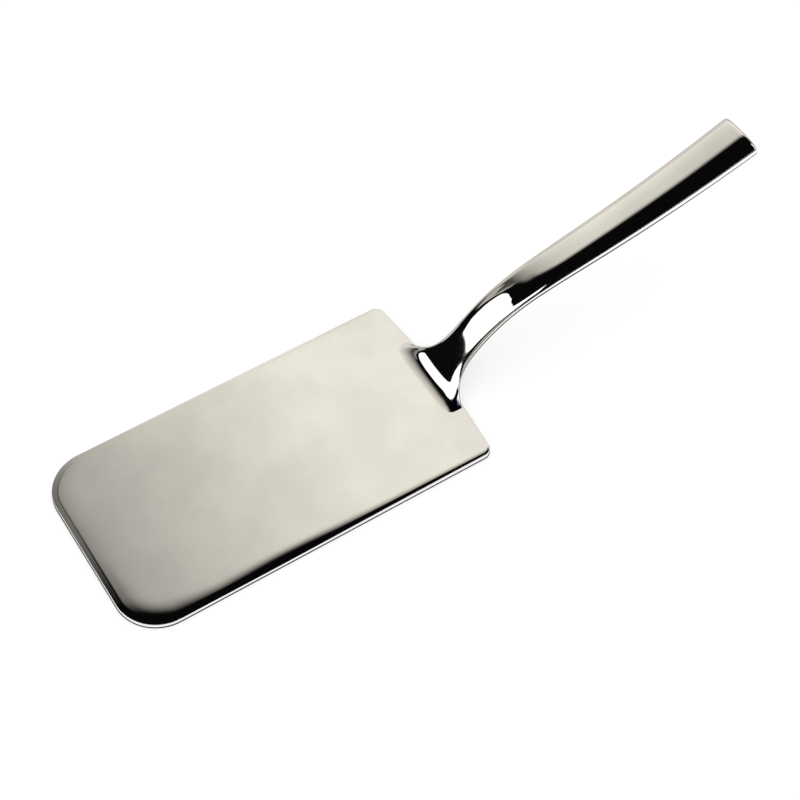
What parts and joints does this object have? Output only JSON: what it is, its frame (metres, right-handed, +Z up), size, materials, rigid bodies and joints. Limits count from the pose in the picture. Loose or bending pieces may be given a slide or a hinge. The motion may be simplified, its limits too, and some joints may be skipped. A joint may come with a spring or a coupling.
{
  "type": "serving spatula",
  "caption": "Serving spatula with a wide flat blade, rounded front corners and a thinned border, on a cranked hollow handle that rises from a flared, welded foot.",
  "frame": {"origin": "centre of the blade's flat underside, midway between the front edge and the rear corners", "axes": "+X along the blade from its front edge to the handle, +Y to the left side as it is held, +Z up through the blade's serving face"},
  "size_m": [0.2773, 0.0778, 0.0578],
  "materials": {
    "polished_steel": "mirror polished stainless steel with fine polishing haze",
    "ground_weld": "ground and polished weld metal, faint heat tint",
    "cement": "dull, set handle cement"
  },
  "bodies": {
    "root": {"blade": "polished_steel", "neck": "polished_steel", "foot_weld": "ground_weld", "grip_upper_shell": "polished_steel", "grip_lower_shell": "polished_steel", "grip_end_cap": "polished_steel", "shoulder_weld": "ground_weld", "seam_weld_left": "ground_weld", "seam_weld_right": "ground_weld", "tang_cement": "cement"}
  },
  "joints": []
}
